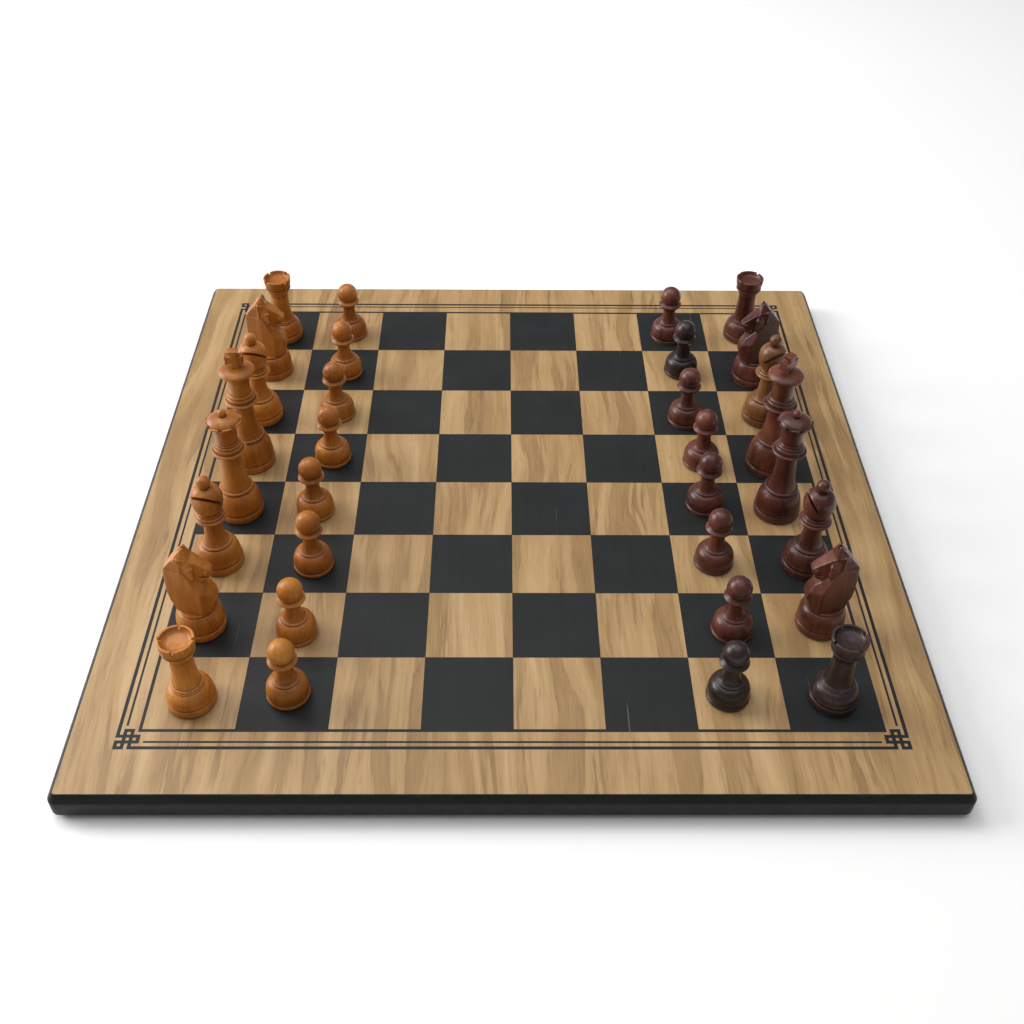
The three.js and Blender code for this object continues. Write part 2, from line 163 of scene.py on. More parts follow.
def make_studio():
    make_light("window", (-2.0, 0.5, 1.0), 1.5, 46, (1.0, 0.98, 0.95))
    make_light("key", (-0.9, 0.9, 1.9), 1.2, 16)
    make_light("overhead", (0.1, 0.1, 2.2), 2.4, 20)
    world = bpy.data.worlds.new("studio")
    world.use_nodes = True
    background = world.node_tree.nodes["Background"]
    background.inputs["Color"].default_value = (0.98, 0.99, 1.0, 1)
    background.inputs["Strength"].default_value = 0.29
    scene = bpy.context.scene
    scene.world = world
    scene.view_settings.view_transform = "Standard"
    scene.view_settings.look = "None"


def make_floor():
    mesh = bmesh.new()
    bmesh.ops.create_grid(mesh, x_segments=1, y_segments=1, size=6)
    floor = to_object("studio_floor", mesh)
    floor.data.materials.append(pale_floor())


# ---------------------------------------------------------------- shader nodes
class Shader:
    """A material with one Principled BSDF, and short ways to add the nodes that feed it."""

    def __init__(self, name, **sockets):
        self.material = bpy.data.materials.new(name)
        self.material.use_nodes = True
        self.tree = self.material.node_tree
        self.bsdf = self.tree.nodes["Principled BSDF"]
        for label, value in sockets.items():
            self.bsdf.inputs[label.replace("_", " ")].default_value = value

    def node(self, kind, **inputs):
        made = self.tree.nodes.new("ShaderNode" + kind)
        for label, value in inputs.items():
            self.plug(made.inputs[label.replace("_", " ")], value)
        return made

    def plug(self, socket, value):
        if isinstance(value, bpy.types.NodeSocket):
            self.tree.links.new(value, socket)
        else:
            socket.default_value = value

    def place(self, scale, offset=(0, 0, 0), turn=(0, 0, 0)):
        """The object's own coordinates, scaled so that each unit is one feature of a pattern."""
        coordinates = self.tree.nodes.new("ShaderNodeTexCoord").outputs["Object"]
        made = self.node("Mapping", Vector=coordinates, Scale=scale, Location=offset, Rotation=turn)
        return made.outputs[0]

    def noise(self, vector, detail=3.0, roughness=0.55, distortion=0.0):
        """Cloudy noise whose features are about one unit of the vector."""
        return self.node("TexNoise", Vector=vector, Scale=1.0, Detail=detail, Roughness=roughness,
                         Distortion=distortion).outputs[0]

    def level(self, value, low, high, to_low=0.0, to_high=1.0):
        """Stretches the part of a value between low and high."""
        made = self.tree.nodes.new("ShaderNodeMapRange")
        for socket, number in zip(made.inputs, (value, low, high, to_low, to_high)):
            self.plug(socket, number)
        return made.outputs[0]

    def sum(self, first, second, operation="ADD"):
        made = self.tree.nodes.new("ShaderNodeMath")
        made.operation = operation
        self.plug(made.inputs[0], first)
        self.plug(made.inputs[1], second)
        return made.outputs[0]

    def times(self, first, second):
        return self.sum(first, second, "MULTIPLY")

    def mix(self, share, first, second, blend="MIX"):
        made = self.tree.nodes.new("ShaderNodeMix")
        made.data_type = "RGBA"
        made.blend_type = blend
        self.plug(made.inputs[0], share)
        self.plug(made.inputs[6], first)
        self.plug(made.inputs[7], second)
        return made.outputs[2]

    def ramp(self, value, *stops):
        """Colours along a value, each stop a place and a colour."""
        made = self.tree.nodes.new("ShaderNodeValToRGB")
        elements = made.color_ramp.elements
        while len(elements) < len(stops):
            elements.new(0.5)
        for element, (place, colour) in zip(elements, stops):
            element.position = place
            element.color = (*colour, 1)
        self.plug(made.inputs[0], value)
        return made.outputs[0]

    def relief(self):
        made = self.tree.nodes.new("ShaderNodeAttribute")
        made.attribute_name = RELIEF
        return made.outputs["Fac"]

    def finish(self, colour, roughness, height=None, depth=0.0001):
        self.plug(self.bsdf.inputs["Base Color"], colour)
        self.plug(self.bsdf.inputs["Roughness"], roughness)
        if height is not None:
            bump = self.node("Bump", Height=height, Distance=depth, Strength=1.0)
            self.plug(self.bsdf.inputs["Normal"], bump.outputs[0])
        return self.material


def linear(red, green, blue):
    """A colour given as 0 to 255 on a screen, as the shader wants it."""
    def one(value):
        value /= 255
        return value / 12.92 if value <= 0.04045 else ((value + 0.055) / 1.055) ** 2.4
    return (one(red), one(green), one(blue))


def rgba(colour):
    return (*colour, 1)


def blended(first, second, share):
    return tuple(a + (b - a) * share for a, b in zip(first, second))


# ---------------------------------------------------------------- materials
def pale_floor():
    shader = Shader("pale_floor", Roughness=0.9, Specular_IOR_Level=0.1)
    cloud = shader.noise(shader.place((3, 3, 3)), detail=2)
    colour = shader.mix(cloud, rgba((0.95, 0.95, 0.95)), rgba((0.98, 0.98, 0.98)))
    return shader.finish(colour, 0.9)


def veneer_wood():
    """Light oiled veneer whose grain runs from the front of the board to the rear."""
    shader = Shader("veneer_wood", Specular_IOR_Level=0.35, Coat_Weight=0.08, Coat_Roughness=0.35)
    sway = shader.noise(shader.place((11, 4.5, 1)), detail=2)
    wander = shader.node("CombineXYZ", X=shader.times(sway, 3.4)).outputs[0]
    wandering = shader.node("VectorMath", Vector=shader.place((64, 4.2, 1))).outputs[0].node
    wandering.operation = "ADD"
    shader.plug(wandering.inputs[1], wander)
    figure = shader.noise(wandering.outputs[0], detail=5, roughness=0.62)
    fibre = shader.noise(shader.place((820, 26, 1)), detail=4, roughness=0.6)
    cloud = shader.noise(shader.place((14, 9, 1), offset=(7, 2, 0)), detail=3)
    tone = shader.sum(shader.times(figure, 0.68), shader.times(fibre, 0.14))
    tone = shader.sum(tone, shader.times(cloud, 0.18))
    colour = shader.ramp(
        tone,
        (0.30, linear(126, 96, 58)),
        (0.43, linear(156, 124, 80)),
        (0.52, linear(173, 140, 95)),
        (0.66, linear(194, 162, 118)),
    )
    # Wavy dark lines follow one level of the figure, and come and go along it.
    line = shader.sum(shader.level(figure, 0.40, 0.47), shader.level(figure, 0.47, 0.50), "SUBTRACT")
    presence = shader.level(shader.noise(shader.place((30, 7, 1), offset=(3, 1, 0))), 0.40, 0.62)
    line = shader.times(line, presence)
    colour = shader.mix(shader.times(line, 0.5), colour, rgba(linear(104, 74, 44)))
    streaks = shader.noise(shader.place((120, 7, 1), offset=(8, 5, 0)), detail=5, roughness=0.7)
    streak = shader.level(streaks, 0.58, 0.7)
    colour = shader.mix(shader.times(streak, 0.55), colour, rgba(linear(98, 70, 42)))
    pore = shader.noise(shader.place((1500, 90, 1), offset=(5, 2, 0)), detail=1)
    dark_pore = shader.level(pore, 0.60, 0.74)
    colour = shader.mix(shader.times(dark_pore, 0.25), colour, rgba(linear(84, 60, 36)))
    roughness = shader.level(fibre, 0.3, 0.7, 0.4, 0.54)
    height = shader.sum(fibre, shader.times(dark_pore, -0.8))
    return shader.finish(colour, roughness, height, 0.00003)


def printed_black():
    """Satin charcoal print over the veneer, with dust, specks and fine scratches."""
    shader = Shader("printed_black", Specular_IOR_Level=0.25)
    grain = shader.noise(shader.place((260, 8, 1)), detail=4)
    smudge = shader.noise(shader.place((34, 34, 1), offset=(2, 4, 0)), detail=4, roughness=0.6)
    colour = shader.mix(grain, rgba(linear(24, 25, 26)), rgba(linear(33, 35, 36)))
    colour = shader.mix(shader.level(smudge, 0.45, 0.75, 0, 0.4), colour, rgba(linear(41, 43, 45)))
    scratches = []
    for turn, offset in ((0.5, 1.0), (-0.9, 7.0), (1.35, 13.0)):
        place = shader.place((420, 9, 1), offset=(offset, offset, 0), turn=(0, 0, turn))
        scratches.append(shader.level(shader.noise(place, detail=2), 0.750, 0.770))
    scratch = shader.sum(shader.sum(scratches[0], scratches[1]), scratches[2])
    dust = shader.level(shader.noise(shader.place((950, 950, 1)), detail=1), 0.80, 0.84)
    marks = shader.sum(shader.times(scratch, 0.22), shader.times(dust, 0.5))
    colour = shader.mix(marks, colour, rgba(linear(150, 150, 146)))
    roughness = shader.level(smudge, 0.3, 0.7, 0.46, 0.58)
    return shader.finish(colour, roughness, grain, 0.00002)


def edge_paint():
    """Black satin paint on the board's moulded edge, rubbed grey along its arrises."""
    shader = Shader("edge_paint", Specular_IOR_Level=0.22)
    mottle = shader.noise(shader.place((120, 120, 120)), detail=5)
    rub = shader.noise(shader.place((60, 60, 200), offset=(1, 2, 3)), detail=5, roughness=0.7)
    colour = shader.mix(mottle, rgba(linear(17, 17, 18)), rgba(linear(28, 28, 29)))
    worn = shader.times(shader.level(shader.relief(), 0.15, 0.8), shader.level(rub, 0.52, 0.72))
    colour = shader.mix(shader.times(worn, 0.5), colour, rgba(linear(80, 78, 75)))
    dust = shader.level(shader.noise(shader.place((1100, 1100, 1100)), detail=1), 0.78, 0.83)
    colour = shader.mix(shader.times(dust, 0.25), colour, rgba(linear(130, 130, 128)))
    roughness = shader.level(mottle, 0.3, 0.7, 0.44, 0.58)
    return shader.finish(colour, roughness, mottle, 0.00004)


def felt(name, low, high):
    """Pressed felt: a mottled nap of short crossed fibres."""
    shader = Shader(name, Roughness=0.95, Specular_IOR_Level=0.15, Sheen_Weight=0.3, Sheen_Roughness=0.6)
    nap = shader.noise(shader.place((2600, 2600, 2600)), detail=4, roughness=0.7)
    mottle = shader.noise(shader.place((300, 300, 300), offset=(3, 1, 2)), detail=3)
    tone = shader.sum(shader.times(nap, 0.6), shader.times(mottle, 0.4))
    colour = shader.ramp(tone, (0.35, low), (0.65, high))
    return shader.finish(colour, 0.95, nap, 0.00015)


def turned_wood(name, tones, seed, gloss):
    """Stained and varnished wood with upright grain. Painted shade darkens the hollows, and a painted
    highlight lightens the proud edges.
    """
    dark, middle, bright = tones
    shader = Shader(name, Specular_IOR_Level=0.3, Coat_Weight=gloss, Coat_Roughness=0.24)
    offset = (seed * 1.7, seed * 0.9, seed * 2.3)
    tilt = (0.05 * math.sin(seed), 0.05 * math.cos(seed), seed)
    ring = shader.noise(shader.place((130, 40, 9), offset, tilt), detail=3, distortion=0.6)
    bands = shader.node("Math", Value=shader.times(ring, 34)).outputs[0].node
    bands.operation = "SINE"
    fibre = shader.noise(shader.place((900, 900, 50), offset, tilt), detail=4, roughness=0.65)
    pore = shader.noise(shader.place((2200, 2200, 170), offset, tilt), detail=1)
    cloud = shader.noise(shader.place((45, 45, 30), offset), detail=3)
    tone = shader.sum(shader.times(fibre, 0.24), shader.times(cloud, 0.76))
    tone = shader.sum(tone, shader.times(bands.outputs[0], 0.035))
    colour = shader.ramp(tone, (0.34, dark), (0.5, middle), (0.66, bright))
    dark_pore = shader.level(pore, 0.60, 0.74)
    colour = shader.mix(shader.times(dark_pore, 0.25), colour, rgba(blended(dark, (0, 0, 0), 0.45)))
    relief = shader.relief()
    # Painted shade: the hollows of the outline are darkened toward black.
    hollow = shader.level(relief, -0.05, -0.8)
    colour = shader.mix(shader.times(hollow, 0.62), colour, rgba(blended(dark, (0, 0, 0), 0.6)))
    # Painted highlight: the proud edges are lightened, broken up by the fibre.
    edge = shader.times(shader.level(relief, 0.1, 0.9), shader.level(fibre, 0.35, 0.7))
    colour = shader.mix(shader.times(edge, 0.4), colour, rgba(blended(bright, (0.9, 0.75, 0.5), 0.06)))
    roughness = shader.sum(shader.level(cloud, 0.3, 0.7, 0.36, 0.46), shader.times(hollow, 0.2))
    height = shader.sum(fibre, shader.times(dark_pore, -0.7))
    return shader.finish(colour, roughness, height, 0.00003)


LIGHT_TONES = (linear(138, 76, 16), linear(168, 99, 26), linear(190, 124, 46))
DARK_TONES = (linear(48, 20, 15), linear(80, 36, 27), linear(108, 54, 40))
BLACKENED_TONES = (linear(22, 12, 12), linear(40, 23, 22), linear(58, 36, 34))
RED_TONES = (linear(62, 28, 18), linear(94, 46, 30), linear(120, 66, 44))
GOLDEN_TONES = (linear(74, 42, 18), linear(108, 66, 32), linear(134, 88, 48))

# The dark pieces come from several woods and stains.
DARK_SHADES = {
    "dark_rook_front": BLACKENED_TONES,
    "dark_pawn_1": BLACKENED_TONES,
    "dark_pawn_2": DARK_TONES,
    "dark_pawn_7": BLACKENED_TONES,
    "dark_knight_front": RED_TONES,
    "dark_king": RED_TONES,
    "dark_bishop_rear": GOLDEN_TONES,
}


def wood_for(body, seed):
    """Each piece has grain and a tint of its own."""
    if body.startswith("light"):
        tones, gloss = LIGHT_TONES, 0.2
    else:
        tones, gloss = DARK_SHADES.get(body, DARK_TONES), 0.35
    tint = 1 + 0.09 * math.sin(seed * 2.4)
    tones = [tuple(min(1, channel * tint) for channel in tone) for tone in tones]
    return turned_wood(f"wood_of_{body}", tones, seed, gloss)


# ---------------------------------------------------------------- meshes
def to_object(name, mesh):
    """A bmesh made into an object."""
    data = bpy.data.meshes.new(name)
    mesh.to_mesh(data)
    mesh.free()
    return add_object(name, data)


def add_object(name, data):
    made = bpy.data.objects.new(name, data)
    bpy.context.scene.collection.objects.link(made)
    return made


def shade(data):
    data.shade_smooth()
    data.set_sharp_from_angle(angle=SHARP_ANGLE)


class Outline:
    """A turned outline in millimetres, drawn from the foot upward one moulding at a time."""

    def __init__(self, radius, height=0.0):
        self.points = [(radius, height)]

    @property
    def last(self):
        return self.points[-1]

    def to(self, radius, rise=0.0):
        self.points.append((radius, self.last[1] + rise))
        return self

    def curve(self, radius, rise, bow, steps=8):
        """A bow above 0 leaves upright and arrives level, below 0 leaves level and arrives upright."""
        r0, z0 = self.last
        r1, z1 = radius, z0 + rise
        corner = (r0, z1) if bow > 0 else (r1, z0)
        pull_r = (r0 + r1) / 2 + abs(bow) * (corner[0] - (r0 + r1) / 2)
        pull_z = (z0 + z1) / 2 + abs(bow) * (corner[1] - (z0 + z1) / 2)
        for i in range(1, steps + 1):
            t = i / steps
            a, b, c = (1 - t) ** 2, 2 * t * (1 - t), t * t
            self.points.append((a * r0 + b * pull_r + c * r1, a * z0 + b * pull_z + c * z1))
        return self

    def bead(self, out, rise, radius=None, steps=8):
        """A half-round ring, which ends at a radius of its own."""
        r0, z0 = self.last
        r1 = r0 if radius is None else radius
        for i in range(1, steps + 1):
            angle = math.pi * i / steps
            share = (1 - math.cos(angle)) / 2
            self.points.append((r0 + (r1 - r0) * share + out * math.sin(angle), z0 + rise * share))
        return self

    def ball(self, radius, steps=18):
        r0, z0 = self.last
        start = -math.acos(min(1, r0 / radius))
        centre = z0 - radius * math.sin(start)
        for i in range(1, steps + 1):
            angle = start + (math.pi / 2 - start) * i / steps
            across = 0 if i == steps else radius * math.cos(angle)
            self.points.append((across, centre + radius * math.sin(angle)))
        return self

    def relief(self):
        """How hollow (below 0) or proud (above 0) the outline is near each point, from -1 to 1."""
        turns = [0.0]
        for (r0, z0), (r1, z1), (r2, z2) in zip(self.points, self.points[1:], self.points[2:]):
            before = Vector((r1 - r0, z1 - z0))
            after = Vector((r2 - r1, z2 - z1))
            turns.append(after.angle_signed(before, 0) if before.length and after.length else 0.0)
        turns.append(0.0)
        reach = 0.7
        values = []
        for r0, z0 in self.points:
            near = (
                turn * max(0, 1 - math.hypot(r - r0, z - z0) / reach)
                for (r, z), turn in zip(self.points, turns)
            )
            values.append(max(-1, min(1, sum(near))))
        return values


def lathe(outline, segments):
    """Spins an outline about the axis. Its two ends are closed flat, or come to a point."""
    mesh = bmesh.new()
    layer = mesh.verts.layers.float.new(RELIEF)
    rings = []
    for (radius, height), value in zip(outline.points, outline.relief()):
        count = segments if radius > 0 else 1
        ring = []
        for i in range(count):
            angle = 2 * math.pi * i / segments
            place = (radius * math.cos(angle) * MM, radius * math.sin(angle) * MM, height * MM)
            ring.append(mesh.verts.new(place))
            ring[-1][layer] = value
        rings.append(ring)
    for lower, upper in zip(rings, rings[1:]):
        for i in range(segments):
            j = (i + 1) % segments
            corners = [lower[i], lower[j], upper[j % len(upper)], upper[i % len(upper)]]
            mesh.faces.new(dict.fromkeys(corners))
    mesh.faces.new(reversed(rings[0]))
    if len(rings[-1]) > 1:
        mesh.faces.new(rings[-1])
    return mesh


def block(width, depth, height, place):
    """A box mesh in millimetres, its middle moved by a matrix."""
    mesh = bmesh.new()
    bmesh.ops.create_cube(mesh, size=1, matrix=place @ Matrix.Diagonal((width, depth, height, 1)))
    bmesh.ops.scale(mesh, vec=(MM, MM, MM), verts=mesh.verts)
    return mesh


def rod(radius, length, place, segments=24):
    mesh = bmesh.new()
    bmesh.ops.create_cone(mesh, cap_ends=True, segments=segments, radius1=radius, radius2=radius,
                          depth=length, matrix=place)
    bmesh.ops.scale(mesh, vec=(MM, MM, MM), verts=mesh.verts)
    return mesh


def applied(made, *settings):
    """The mesh of an object with modifiers applied. Each setting is a modifier's kind and its values."""
    for kind, values in settings:
        modifier = made.modifiers.new(kind.lower(), kind)
        for label, value in values.items():
            setattr(modifier, label, value)
    bpy.context.view_layer.update()
    data = bpy.data.meshes.new_from_object(made.evaluated_get(bpy.context.evaluated_depsgraph_get()))
    bpy.data.objects.remove(made)
    return data


def carved(mesh, cutters):
    """A mesh with the cutters taken away from it."""
    tools = [to_object("cutter", cutter) for cutter in cutters]
    cuts = [("BOOLEAN", {"object": tool, "operation": "DIFFERENCE", "solver": "EXACT"}) for tool in tools]
    data = applied(to_object("blank", mesh), *cuts)
    for tool in tools:
        bpy.data.objects.remove(tool)
    return data


# ---------------------------------------------------------------- turned pieces
def foot(radius, waist, ring, plinth=PLINTH_TOP):
    """The plinth, the groove above it, the bell up to its waist, and the shoulder rounding in to the ring.

    The waist and ring are each a radius and a height above the playing face.
    """
    outline = Outline(radius - 0.35, FELT_HEIGHT).to(radius - 0.1, 0.15).to(radius, 0.3)
    outline.to(radius, plinth - 0.8 - outline.last[1])
    outline.curve(radius - 0.9, 0.8, 0.5, 4).curve(radius - 0.3, 1.2, -0.5, 4)
    base = outline.last[1]
    outline.curve(waist[0], waist[1] - base, 0.6, 5)
    return outline.curve(ring[0], ring[1] - waist[1], 0.62, 10)


def pawn():
    outline = foot(PAWN_RADIUS, (11.7, 7.8), (8.0, 13.4))
    outline.to(7.3, 0.3).bead(0.5, 1.2).to(6.6, 0.2)
    outline.curve(4.2, 10.2, -0.7, 12).curve(5.6, 1.0, 0.7, 3).to(8.0, 3.1).to(8.2, 0.2).to(8.2, 0.6)
    outline.to(8.0, 0.2).to(6.0, 1.5).ball(7.35)
    return finished(lathe(outline, PAWN_SEGMENTS))


def rook():
    """Two crossing saw cuts leave four battlements round a shallow dish."""
    outline = foot(ROOK_RADIUS, (13.0, 8.0), (9.3, 14.6), TALL_PLINTH_TOP)
    outline.to(8.8, 0.2).bead(0.5, 1.1).to(8.5, 0.2).bead(0.3, 0.9).to(7.8, 0.2)
    outline.curve(6.3, 20.6, -0.7, 14).curve(8.0, 4.4, -0.3, 5).bead(0.7, 1.1, 8.7).to(9.7, 4.8).to(9.9, 3.0)
    outline.to(9.7, 0.25).to(9.4, 0.1).to(8.6, -0.1).curve(6.5, -2.6, 0.5, 8).curve(0, -0.6, -0.4, 4)
    rim = max(height for _, height in outline.points)
    at_rim = Matrix.Translation((0, 0, rim))
    cutters = [
        block(3 * ROOK_RADIUS, ROOK_NOTCH_WIDTH, 2 * ROOK_NOTCH_DEPTH, at_rim @ turn)
        for turn in (Matrix.Identity(4), Matrix.Rotation(math.pi / 2, 4, "Z"))
    ]
    return finished(carved(lathe(outline, BACK_ROW_SEGMENTS), cutters))


def bishop():
    """The mitre has a sloping saw cut from its front to just past its middle."""
    outline = foot(BISHOP_RADIUS, (13.5, 8.4), (9.9, 17.0), TALL_PLINTH_TOP)
    outline.to(9.0, 0.4).bead(0.5, 1.5).to(8.0, 0.3)
    outline.curve(5.2, 17.0, -0.7, 14).curve(8.6, 1.8, -0.5, 4).bead(1.4, 1.9, 8.0).to(7.9, 0.3)
    outline.bead(0.8, 1.4, 7.0).to(6.9, 0.4).bead(0.5, 1.2, 6.2)
    outline.curve(9.6, 10.4, -0.6, 12).curve(2.6, 8.2, 0.75, 12).ball(4.2)
    reach = 20
    start = Matrix.Translation((MITRE_SLOT_START, 0, outline.last[1] - MITRE_SLOT_DROP))
    tilt = Matrix.Rotation(math.radians(-MITRE_SLOT_TILT), 4, "Y") @ Matrix.Translation((reach / 2, 0, 0))
    slot = block(reach, 1.5 * reach, MITRE_SLOT_WIDTH, start @ tilt)
    return finished(carved(lathe(outline, BACK_ROW_SEGMENTS), [slot]))


def queen():
    """Round notches in the rim leave the coronet's points."""
    outline = foot(QUEEN_RADIUS, (14.2, 9.0), (10.2, 19.6), TALL_PLINTH_TOP)
    outline.to(9.6, 0.7).to(10.0, 0.5).bead(0.6, 1.5).to(9.3, 0.3)
    outline.curve(6.0, 26.2, -0.55, 16).curve(8.6, 1.6, -0.5, 4).bead(2.0, 2.2, 9.0).to(8.7, 1.4)
    outline.bead(0.6, 1.4, 8.0).to(7.8, 0.5).bead(0.5, 1.3, 7.1).to(6.8, 0.5).bead(0.4, 1.1, 6.4)
    outline.curve(6.9, 9.4, -0.3).curve(10.6, 4.6, 0.55).to(10.95, 0.9).to(10.9, 0.4)
    rim = outline.last[1]
    outline.to(9.9, 0.2).curve(2.0, 3.4, 0.6).ball(2.6)
    outward = Matrix.Translation((11.6, 0, rim + 0.4)) @ Matrix.Rotation(math.pi / 2, 4, "Y")
    notches = []
    for i in range(CORONET_POINTS):
        turn = Matrix.Rotation(2 * math.pi * i / CORONET_POINTS, 4, "Z")
        notches.append(rod(CORONET_NOTCH, 4, turn @ outward))
    return finished(carved(lathe(outline, BACK_ROW_SEGMENTS), notches))


def king():
    outline = foot(KING_RADIUS, (14.7, 9.4), (10.4, 22.0), TALL_PLINTH_TOP)
    outline.to(9.9, 0.7).to(10.3, 0.5).bead(0.6, 1.6).to(9.6, 0.3)
    outline.curve(6.3, 24.6, -0.55, 16).curve(8.8, 1.7, -0.5, 4).bead(2.0, 2.2, 9.2).to(8.8, 1.7)
    outline.bead(0.6, 1.4, 8.2).to(8.0, 0.7).bead(0.5, 1.3, 7.2).to(6.8, 0.7)
    outline.curve(7.1, 9.9, -0.3).curve(11.4, 5.2, 0.6).curve(11.2, 1.4, 0.8, 4).curve(2.6, 2.6, 0.6)
    return finished(lathe(outline, BACK_ROW_SEGMENTS))


def knight_base():
    outline = foot(KNIGHT_RADIUS, (13.7, 10.0), (10.9, 17.1), TALL_PLINTH_TOP)
    outline.to(10.1, 0.3).bead(0.6, 1.5).to(10.0, 0.1)
    return finished(lathe(outline, BACK_ROW_SEGMENTS))


def felt_disc(radius, segments):
    outline = Outline(radius - 0.1, 0).to(radius, 0.12).to(radius, FELT_HEIGHT - 0.24).to(radius - 0.1, 0.12)
    return finished(lathe(outline, segments))


def finished(mesh):
    """Mesh data ready to use, from a bmesh or from data that has been cut."""
    if isinstance(mesh, bmesh.types.BMesh):
        data = bpy.data.meshes.new("piece")
        mesh.to_mesh(data)
        mesh.free()
    else:
        data = mesh
    shade(data)
    return data


# ---------------------------------------------------------------- carved pieces
def trim(mesh, point, normal):
    """Cuts a convex mesh by a plane, keeps what is behind it and closes the cut."""
    everything = [*mesh.verts, *mesh.edges, *mesh.faces]
    bmesh.ops.bisect_plane(mesh, geom=everything, plane_co=point, plane_no=normal, clear_outer=True)
    open_edges = [edge for edge in mesh.edges if edge.is_boundary]
    bmesh.ops.holes_fill(mesh, edges=open_edges, sides=0)


def facet(mesh, forward, up, half_width, spread_forward, spread_up, sides=(-1, 1)):
    """Cuts one flat on each side: half_width from the middle at one point, spreading forward and up."""
    for side in sides:
        point = (forward, side * half_width, up)
        trim(mesh, point, (-spread_forward, side, -spread_up))


def sawn(mesh, outline):
    """Cuts a mesh to a convex side view, given clockwise as forward and up pairs."""
    for (x0, z0), (x1, z1) in zip(outline, outline[1:] + outline[:1]):
        trim(mesh, (x0, 0, z0), (z0 - z1, 0, x1 - x0))


def knight_neck():
    """The neck is turned first and then sawn, which leaves round edges where the saw stopped."""
    blank = Outline(10.2, HEAD_FOOT).to(11.6, 0.5).curve(13.6, 7, 0.5, 6).to(14.3, 6).to(14.3, 25)
    mesh = lathe(blank, BACK_ROW_SEGMENTS)
    bmesh.ops.scale(mesh, vec=(1 / MM, 1 / MM, 1 / MM), verts=mesh.verts)
    sawn(mesh, [(-14.6, 15), (-14.3, 33), (-13.3, 50), (-2, 49), (5.8, 40.8), (9.6, 36.4), (12, 31),
                (12.9, 26), (12.9, 15)])
    facet(mesh, -12.5, 20, 4.8, 0.27, -0.047)
    facet(mesh, 5.5, 34.5, 9.0, -0.718, -0.04)
    facet(mesh, 5.5, 34.5, 9.0, -1.06, -0.682)
    return mesh


def wood_block():
    """Uncut stock, larger than a head and standing on the playing face."""
    stock = 100
    mesh = bmesh.new()
    bmesh.ops.create_cube(mesh, size=stock, matrix=Matrix.Translation((0, 0, stock / 2)))
    return mesh


def knight_cheeks():
    mesh = wood_block()
    sawn(mesh, [(-13.4, 50), (-8, 57), (-1, 62.6), (1.4, 59), (3.4, 54), (4, 46), (2, 42.6), (-2, 43.4)])
    facet(mesh, -1, 50, 5.4, 0.26, -0.02)
    facet(mesh, 0, 57, 4.9, 0, -0.24)
    return mesh


def knight_muzzle():
    mesh = wood_block()
    sawn(mesh, [(-4, 44.8), (-4, 60), (1, 58.6), (4.6, 56.2), (12.2, 49.4), (13.1, 48.0), (12.0, 44.8)])
    facet(mesh, 2, 52, 4.6, -0.16, 0.02)
    return mesh


def knight_jaw():
    mesh = wood_block()
    sawn(mesh, [(-4, 43), (8, 43.7), (11.6, 43.7), (10.3, 41.8), (7, 40.6), (2, 41.6)])
    facet(mesh, 2, 43, 4.4, -0.17, 0.02)
    return mesh


def knight_jowl():
    mesh = wood_block()
    sawn(mesh, [(-6, 42), (-4, 52), (6, 52), (6.6, 43), (4, 41.2)])
    facet(mesh, 2, 46, 4.5, -0.15, 0)
    return mesh


def knight_ear(side):
    mesh = wood_block()
    sawn(mesh, [(-6, 56), (-5.4, 60), (-0.7, 65.2), (0.4, 64.9), (1.8, 59.4), (1.8, 55)])
    facet(mesh, 0, 60, 3.7, 0, -0.3, [side])
    facet(mesh, 0, 62, -0.35, 0, -0.12, [-side])
    return mesh


def knob(radius, place, stretch):
    mesh = bmesh.new()
    bmesh.ops.create_icosphere(mesh, subdivisions=3, radius=radius)
    bmesh.ops.scale(mesh, vec=stretch, verts=mesh.verts)
    bmesh.ops.translate(mesh, vec=place, verts=mesh.verts)
    return mesh


def knight_head():
    """Sawn blocks joined into one carving, with its arrises sanded round."""
    parts = [knight_neck(), knight_cheeks(), knight_muzzle(), knight_jaw(), knight_jowl()]
    for side in (-1, 1):
        parts.append(knight_ear(side))
        parts.append(knob(EYE_RADIUS, (2.8, side * 5.6, 52.8), (1.2, 0.9, 0.9)))
        parts.append(knob(NOSTRIL_RADIUS, (10.4, side * 3.4, 47.9), (1, 0.8, 0.8)))
    whole = bmesh.new()
    for part in parts:
        data = bpy.data.meshes.new("part")
        part.to_mesh(data)
        part.free()
        whole.from_mesh(data)
        bpy.data.meshes.remove(data)
    bmesh.ops.scale(whole, vec=(MM, MM, MM), verts=whole.verts)
    voxels = {"mode": "VOXEL", "voxel_size": HEAD_VOXEL * MM}
    data = applied(to_object("head", whole), ("REMESH", voxels))
    return finished(sanded(data))


def sanded(data, rounds=4):
    """Rounds a carving's edges a little, and notes how hollow or proud each place is."""
    mesh = bmesh.new()
    mesh.from_mesh(data)
    for _ in range(rounds):
        bmesh.ops.smooth_vert(mesh, verts=mesh.verts, factor=0.5, use_axis_x=True, use_axis_y=True,
                              use_axis_z=True)
    mesh.normal_update()
    layer = mesh.verts.layers.float.new(RELIEF)
    for vert in mesh.verts:
        bends = [
            (edge.other_vert(vert).co - vert.co).normalized().dot(vert.normal)
            for edge in vert.link_edges
        ]
        vert[layer] = max(-1, min(1, -4 * sum(bends) / max(1, len(bends))))
    data = bpy.data.meshes.new("carving")
    mesh.to_mesh(data)
    mesh.free()
    return data


